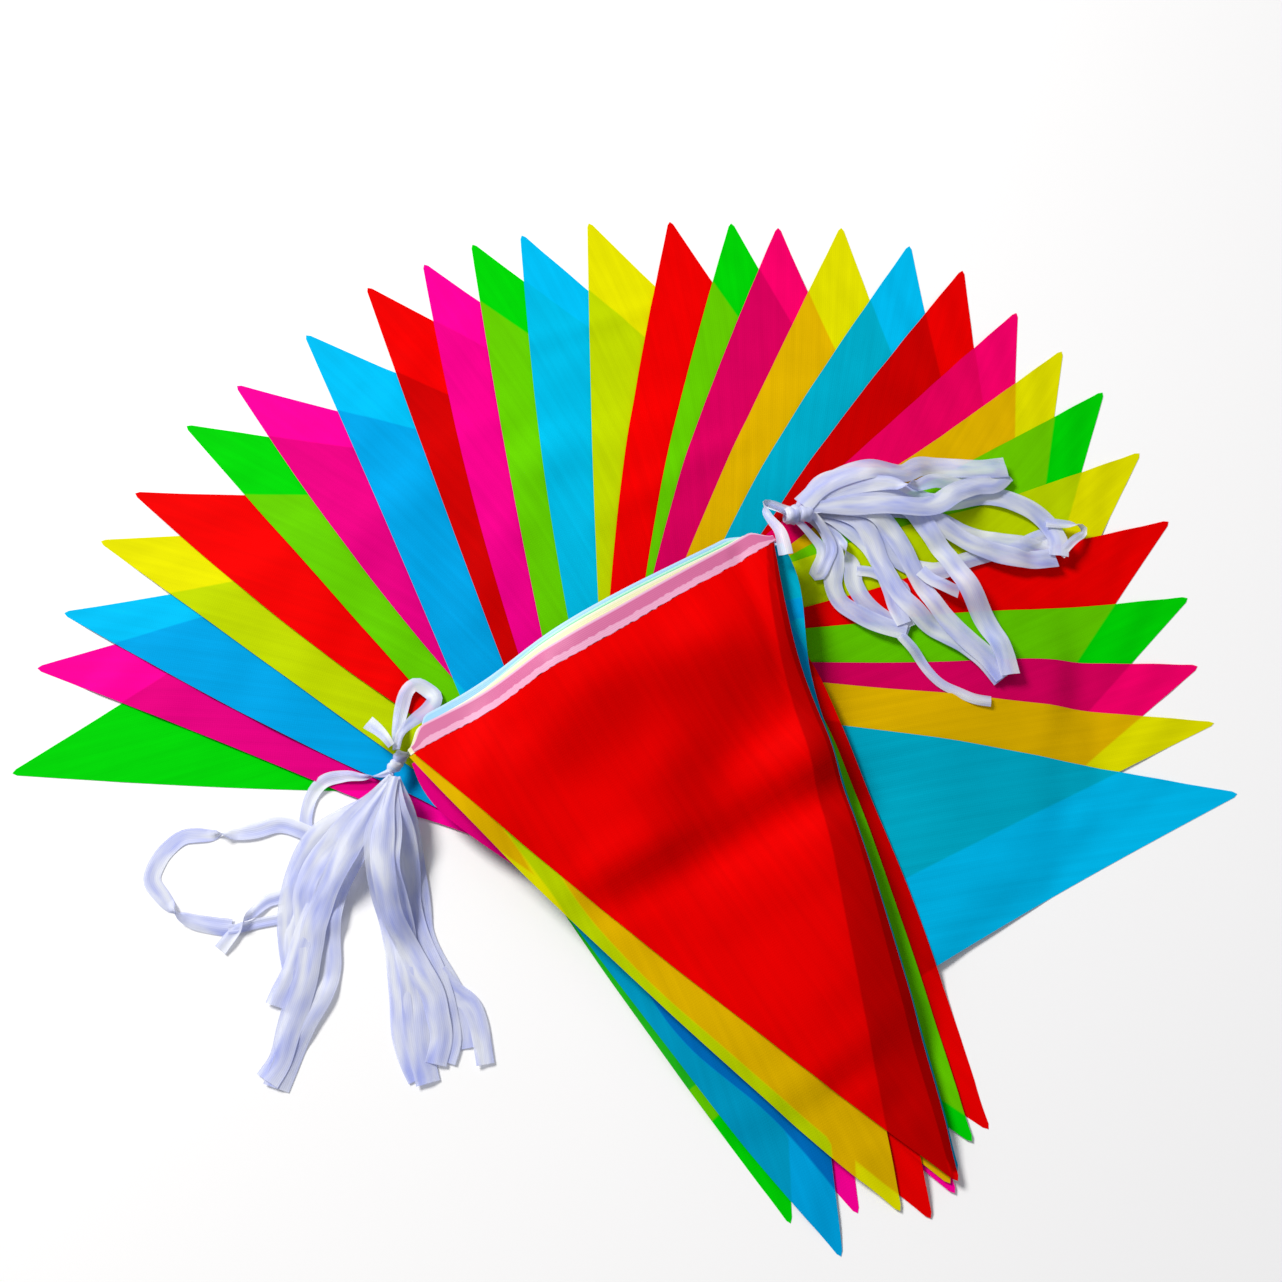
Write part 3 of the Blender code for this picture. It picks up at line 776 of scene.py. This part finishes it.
# Each strand: its width, where it twists as shares of its length, and its route from the hub. The
# lowest strand comes first.
rightStrands = (
    (7, (), ((153, 98), (146, 99), (134, 99), (121, 98), (110, 94), (103, 85), (98, 76))),
    (9, (), (
        (195, 58), (185, 54), (176, 50), (166, 45), (158, 45), (149, 48), (142, 53), (136, 63),
        (129, 71), (100, 74),
    )),
    (6, (), ((125, 44), (133, 43), (141, 39), (147, 36), (148, 29), (146, 22), (149, 15))),
    (7, (), ((203, 58), (210, 64), (219, 69), (228, 71), (224, 63), (221, 56))),
    (9, (0.35,), (
        (100, 74), (112, 66), (119, 56), (123, 46), (123, 38), (127, 29), (134, 22), (142, 17),
        (149, 14),
    )),
    (10, (), (
        (100, 74), (109, 66), (114, 55), (114, 45), (113, 36), (116, 27), (124, 21), (134, 16),
        (147, 12),
    )),
    (8, (), ((100, 74), (113, 71), (123, 64), (131, 56), (137, 44), (141, 33), (143, 24), (146, 16))),
    (10, (), (
        (100, 74), (116, 74), (127, 70), (133, 60), (136, 50), (140, 41), (145, 31), (152, 23),
        (158, 17), (167, 12), (176, 7), (185, -1), (192, -10),
    )),
    (9, (), (
        (227, 58), (217, 62), (205, 63), (192, 65), (180, 68), (170, 73), (158, 76), (139, 78),
        (100, 75),
    )),
    (11, (), (
        (100, 76), (113, 84), (124, 90), (134, 90), (145, 85), (155, 78), (165, 72), (176, 65),
        (185, 60), (196, 57), (207, 55), (218, 55), (227, 57),
    )),
    (10, (), (
        (100, 75), (118, 76), (132, 75), (141, 68), (148, 56), (152, 46), (157, 35), (162, 26),
        (170, 16), (178, 8), (187, 0), (193, -9),
    )),
    (7, (), ((156, 44), (161, 39), (168, 35), (174, 33))),
    (11, (), (
        (100, 76), (122, 82), (145, 87), (163, 81), (176, 84), (190, 90), (201, 90), (211, 87),
        (220, 82), (226, 75), (229, 66), (228, 57),
    )),
    (11, (), (
        (100, 76), (116, 79), (133, 82), (146, 81), (156, 75), (163, 64), (169, 54), (175, 44),
        (180, 34), (185, 24), (190, 14), (194, 3), (196, -8),
    )),
    (9, (0.5,), (
        (100, 76), (121, 86), (140, 89), (154, 88), (167, 94), (177, 95), (191, 97), (206, 103),
    )),
    (11, (), (
        (206, 103), (199, 96), (189, 94), (178, 88), (167, 80), (156, 77), (139, 77), (122, 76),
        (100, 75),
    )),
    (11, (), (
        (99, 76), (109, 86), (122, 93), (136, 97), (151, 98), (161, 104), (172, 105), (184, 104),
        (195, 104), (206, 106),
    )),
    (5, (0.4,), ((224, 76), (234, 75), (242, 74), (243, 71), (237, 66), (232, 61), (229, 57))),
    (5, (), ((144, 10), (151, 2), (157, -7), (163, -13), (171, -17), (178, -20), (186, -21))),
    (6, (), (
        (83, 78), (91, 72), (99, 65), (107, 57), (108, 51), (105, 44), (104, 41), (107, 41), (110, 47),
        (113, 55), (110, 63), (104, 71),
    )),
    (7, (0.4,), ((97, 72), (90, 73), (82, 74), (79, 71), (82, 63), (86, 54), (88, 42))),
)
leftStrands = (
    (7, (0.15,), (
        (-98, -52), (-108, -55), (-120, -54), (-130, -56), (-136, -63), (-138, -73), (-137, -81),
        (-136, -86),
    )),
    (8, (0.33, 0.8), (
        (-134, -82), (-149, -77), (-162, -80), (-178, -82), (-188, -82), (-195, -83), (-201, -88),
        (-205, -94), (-207, -103), (-201, -111), (-194, -118), (-186, -122), (-176, -124), (-168, -125),
    )),
    (5, (), ((-142, -120), (-156, -123), (-163, -125), (-169, -126))),
    (7, (0.6,), ((-140, -108), (-148, -111), (-153, -113), (-159, -119), (-166, -127), (-172, -135))),
    (12, (), (
        (-96, -56), (-108, -67), (-121, -75), (-131, -83), (-137, -92), (-140, -102), (-141, -113),
        (-141, -124), (-140, -134), (-138, -142),
    )),
    (11, (), (
        (-97, -58), (-110, -75), (-121, -92), (-128, -105), (-135, -118), (-138, -129), (-136, -142),
        (-138, -149), (-141, -157), (-142, -160),
    )),
    (11, (), (
        (-96, -57), (-109, -71), (-122, -84), (-130, -94), (-135, -106), (-135, -117), (-132, -129),
        (-132, -140), (-132, -153), (-135, -163),
    )),
    (10, (), (
        (-96, -58), (-108, -81), (-121, -98), (-129, -114), (-134, -129), (-138, -144), (-142, -154),
        (-144, -160),
    )),
    (12, (), (
        (-96, -60), (-103, -77), (-112, -93), (-119, -106), (-122, -118), (-123, -131), (-122, -144),
        (-124, -155), (-130, -167), (-135, -178), (-139, -189), (-141, -195),
    )),
    (12, (), (
        (-96, -58), (-105, -73), (-112, -86), (-119, -100), (-125, -112), (-129, -124), (-130, -135),
        (-131, -147), (-134, -159), (-137, -170), (-140, -183), (-145, -192),
    )),
    (11, (), (
        (-94, -58), (-90, -70), (-88, -81), (-86, -92), (-84, -105), (-82, -117), (-80, -127),
        (-75, -138), (-69, -148), (-63, -158), (-59, -168), (-57, -178),
    )),
    (9, (), ((-72, -145), (-65, -153), (-57, -159), (-53, -167), (-51, -175), (-49, -185))),
    (11, (), (
        (-95, -58), (-98, -70), (-102, -84), (-101, -97), (-99, -108), (-95, -121), (-92, -134),
        (-90, -147), (-88, -159), (-86, -172), (-82, -183), (-78, -191),
    )),
    (11, (), (
        (-94, -58), (-92, -73), (-89, -86), (-87, -100), (-86, -113), (-83, -125), (-79, -135),
        (-74, -145), (-70, -155), (-67, -165), (-65, -175), (-67, -184),
    )),
    (12, (), (
        (-95, -58), (-95, -73), (-95, -86), (-95, -100), (-92, -113), (-89, -126), (-86, -139),
        (-83, -152), (-81, -164), (-79, -176), (-76, -186), (-74, -193),
    )),
    (11, (), (
        (-94, -58), (-97, -75), (-98, -92), (-96, -106), (-93, -120), (-87, -132), (-80, -144),
        (-74, -154), (-71, -164), (-69, -174), (-71, -185),
    )),
    (8, (), (
        (-95, -44), (-96, -33), (-95, -22), (-93, -14), (-89, -10), (-84, -12), (-79, -17), (-81, -24),
        (-87, -31), (-92, -38), (-94, -45),
    )),
    (8, (), ((-96, -44), (-100, -39), (-104, -35), (-109, -31))),
)


def alongCurve(route, step):  # even points on a smooth curve through the route
    route = np.array(route, float)
    ends = np.vstack((2 * route[0] - route[1], route, 2 * route[-1] - route[-2]))
    fine = []
    for before, start, end, after in zip(ends, ends[1:], ends[2:], ends[3:]):
        for t in np.arange(16) / 16:
            pull = (end - before) * t + (2 * before - 5 * start + 4 * end - after) * t**2
            fine.append(start + (pull + (3 * start - before - 3 * end + after) * t**3) / 2)
    fine = np.array(fine + [route[-1]])
    run = np.append(0, np.cumsum(np.linalg.norm(np.diff(fine, axis=0), axis=1)))
    even = np.linspace(0, run[-1], max(4, round(run[-1] / step) + 1))
    return np.column_stack([np.interp(even, run, fine[:, k]) for k in range(route.shape[1])]), even


topMap = {
    "low": np.array((-250.0, -220.0)),  # the grid's first corner from the hub
    "size": (250, 190),
    "step": 2.0,
    "beyond": 1,  # cloth counts this far past its edge
}


def readTop():  # height of the top of the cloth on a grid
    columns, rows = topMap["size"]
    grid = np.stack(np.meshgrid(np.arange(columns), np.arange(rows), indexing="ij"), axis=-1)
    grid = grid.reshape(-1, 2)
    places = hub + topMap["low"] + grid * topMap["step"]
    topMap["places"] = places
    top = np.zeros(len(places))
    for number, flag in enumerate(flags, 1):
        covered = depthIn(flag["triangle"], places) > -topMap["beyond"]
        top[covered] = restHeight(number, places[covered]) + cloth["thick"]
    topMap["height"] = top


def topAt(points, reach):
    found = np.zeros(len(points))
    spread = np.arange(-reach, reach + 0.1, topMap["step"])
    columns, rows = topMap["size"]
    for dx in spread:
        for dy in spread:
            at = np.rint((points + (dx, dy) - hub - topMap["low"]) / topMap["step"]).astype(int)
            at = np.clip(at, 0, (columns - 1, rows - 1))
            found = np.maximum(found, topMap["height"][at[:, 0] * rows + at[:, 1]])
    return found


def layStrand(bundle, width, twists, route, roots, chance):
    points, run = alongCurve([hub + place for place in route], strands["step"])
    tangent = np.gradient(points, axis=0)
    tangent /= np.linalg.norm(tangent, axis=1)[:, None]
    side = np.column_stack((-tangent[:, 1], tangent[:, 0], np.zeros(len(points))))
    widths = np.full(len(points), float(width))
    for root in roots:
        away = np.linalg.norm(points - root[:2], axis=1)
        opened = smooth(away / strands["opens"])
        widths = np.minimum(widths, strands["root"] + (width - strands["root"]) * opened)
    waves, starts = chance.uniform(*strands["waves"], 3), chance.uniform(0, 6, 3)
    roll = math.radians(strands["tilt"]) * np.sin(run / waves[0] + starts[0])
    for twist in twists:
        at = twist * run[-1]
        roll += math.pi * chance.choice((-1, 1)) * smooth((run - at) / strands["twistLength"] + 0.5)
        widths *= 1 - strands["pinch"] * np.exp(-(((run - at) / strands["pinchLength"]) ** 2))
    widths *= 1 - strands["narrows"] * np.sin(run / waves[1] + starts[1]) ** 2
    lows = topAt(points, strands["feels"]) + strands["lifted"]
    for root in roots:
        away = np.linalg.norm(points - root[:2], axis=1)
        level = root[2] + chance.uniform(-strands["scatter"], strands["scatter"])
        lows = np.where(away < strands["gather"], level, lows)
    drop = np.abs(run[:, None] - run[None]) * strands["climb"]
    lows = (lows[None] - drop).max(axis=1)
    blend = np.array((1, 2, 3, 2, 1)) / 9
    lows = np.maximum(np.convolve(np.pad(lows, 2, mode="edge"), blend, mode="valid"), 0)
    lift = np.abs(np.sin(roll)) * widths / 2
    for point, low, half in zip(points, lows, widths / 2):
        under = np.linalg.norm(topMap["places"] - point, axis=1) < max(half, strands["least"])
        topMap["height"][under] = np.maximum(topMap["height"][under], low + strands["rise"])
    shares = np.linspace(-1, 1, strands["columns"] + 1)
    up = np.array((0, 0, 1.0))
    first = len(bundle["places"])
    for k in range(len(points)):  # a row of points across the strand
        centre = np.append(points[k], lows[k] + lift[k])
        out = math.cos(roll[k]) * side[k] + math.sin(roll[k]) * up
        away = math.cos(roll[k]) * up - math.sin(roll[k]) * side[k]
        arch = strands["arch"] * (1 - shares**2) * widths[k] / 10
        creases = strands["crease"] * np.cos(shares * 4.2 + starts[2] + 0.8 * math.sin(run[k] / waves[2]))
        for share, rise in zip(shares, arch + creases + strands["crease"]):
            place = centre + out * share * widths[k] / 2 + away * rise
            bundle["places"].append((place[0], place[1], max(place[2], strands["clear"])))
            bundle["cuts"].append((run[k], share * width / 2))
    wide = len(shares)
    for k in range(len(points) - 1):
        for column in range(wide - 1):
            corner = first + k * wide + column
            bundle["faces"].append((corner, corner + wide, corner + wide + 1, corner + 1))
    bundle["length"] += run[-1]
    bundle["area"] += run[-1] * widths.mean()


# Thin white woven polyester tape: a little see-through, with bluish painted shade in soft random patches,
# standing for the shadows along its soft folds.
def looseTape():
    material = newMaterial("wovenTape")
    cut = addNode(material, "UVMap", uv_map="cut").outputs[0]
    stretched = addNode(material, "Mapping", {"Vector": cut, "Scale": (0.22, 1, 1)})
    patches = addNode(material, "TexNoise", {"Vector": stretched.outputs[0], "Scale": 0.16, "Detail": 2})
    # painted shade: soft noise patches darken the tape towards bluish, in place of the shadows of its folds
    folds = addNode(material, "MapRange", {"Value": patches.outputs[0], "From Min": 0.3, "From Max": 0.66})
    colour = addNode(
        material, "Mix",
        {0: folds.outputs[0], 6: linear(strands["shade"]), 7: linear(strands["white"])},
        data_type="RGBA",
    )
    ribs = addNode(
        material, "TexWave",
        {"Vector": cut, "Scale": waveScale(heading["ribs"])},
        bands_direction="Y",
    )
    bump = addNode(material, "Bump", {"Height": ribs.outputs["Fac"], "Strength": 0.35, "Distance": 0.00012})
    shader = addNode(
        material, "BsdfPrincipled",
        {
            "Base Color": colour.outputs[2],
            "Roughness": 0.42,
            "Specular IOR Level": 0.4,
            "Sheen Weight": 0.15,
            "Normal": bump.outputs[0],
        },
    )
    clear = addNode(material, "BsdfTransparent", {"Color": linear(strands["clearTint"])})
    seen = addNode(
        material, "MixShader",
        {0: strands["seeThrough"], 1: shader.outputs[0], 2: clear.outputs[0]},
    )
    return finishMaterial(material, seen.outputs[0])


tapeMaterial = looseTape()


def layLoops(name, node, table, knotNode, bearing, seed):
    low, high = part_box(knotNode)
    centre = np.array((low + high) / 2) / mm
    axis = np.array((*unit(bearing), 0))
    chance = np.random.default_rng(seed)
    bundle = {"places": [], "faces": [], "cuts": [], "length": 0, "area": 0}
    roots = [centre + axis * strands["before"], centre - axis * strands["behind"]]
    for width, twists, route in table:
        ends = np.array((route[0], route[-1])) + hub
        near = [root for root in roots if np.linalg.norm(ends - root[:2], axis=1).min() < strands["joins"]]
        layStrand(bundle, width, twists, route, near, chance)
    made = addMesh(name, bundle["places"], bundle["faces"], bundle["cuts"], tapeMaterial, strands["thick"])
    made.modifiers["thickness"].offset = 0
    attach(made, "root")
    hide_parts(node)


readTop()
layLoops("loopsRight", "tape_right", rightStrands, "knot_right", 5, 41)
layLoops("loopsLeft", "tape_left", leftStrands, "knot_left", -118, 43)
print("loops of tape")


knots = {
    "knotRight": {
        "shift": (5, 3),  # from the middle of its solid
        "turns": 2.5,
        "half": 3.84,  # how far the windings run to either side
        "inner": 3.0,
        "outer": 4.9,
        "width": 7,
        "tilt": 34,  # degrees
    },
    "knotLeft": {
        "shift": (2.4, 1.8),
        "turns": 2.5,
        "half": 3.36,
        "inner": 2.4,
        "outer": 3.4,
        "width": 6,
        "tilt": 24,
    },
}
winding = {"steps": 36, "columns": 6, "thick": 0.3, "sway": 2.2, "curl": 1.1, "pleats": (0.35, 0.25)}


def tieKnot(name, node, bearing, seed):  # tape wound round the gathered strands, crumpled and pulled tight
    knot = knots[name]
    low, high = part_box(node)
    centre = np.array((low + high) / 2) / mm + (*knot["shift"], 0)
    axis = np.array((*unit(bearing), 0))
    level = np.array((*across(axis[:2]), 0))
    up = np.array((0, 0, 1.0))
    chance = np.random.default_rng(seed)
    starts = chance.uniform(0, 6, 3)
    places, cuts, faces = [], [], []
    steps, columns = int(knot["turns"] * winding["steps"]), winding["columns"]
    sway = winding["sway"] * math.sin(math.radians(knot["tilt"]))
    middle, swell = (knot["inner"] + knot["outer"]) / 2, (knot["outer"] - knot["inner"]) / 2
    length = 0
    for step in range(steps + 1):
        share = step / steps
        angle = 2 * math.pi * knot["turns"] * share
        spoke = math.cos(angle) * level + math.sin(angle) * up
        place = (2 * share - 1) * knot["half"] + math.sin(angle) * sway
        radius = middle + swell * math.sin(angle / 2 + starts[0])
        length += 2 * math.pi * knot["turns"] * radius / steps
        for column in range(columns + 1):
            side = 2 * column / columns - 1
            crumple = winding["pleats"][0] * math.sin(side * 6 + starts[1] + angle)
            crumple += winding["pleats"][1] * math.sin(angle * 3 + starts[2] + side * 2)
            out = radius - winding["curl"] * side * side + crumple
            places.append(centre + axis * (place + side * knot["width"] / 2) + spoke * out)
            cuts.append((length, side * knot["width"] / 2))
            if step < steps and column < columns:
                corner = step * (columns + 1) + column
                faces.append((corner, corner + 1, corner + columns + 2, corner + columns + 1))
    made = addMesh(name, places, faces, cuts, tapeMaterial, winding["thick"])
    made.modifiers["thickness"].offset = 0
    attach(made, "root")
    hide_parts(node)


tieKnot("knotRight", "knot_right", 5, 51)
tieKnot("knotLeft", "knot_left", -118, 53)
print("knots")
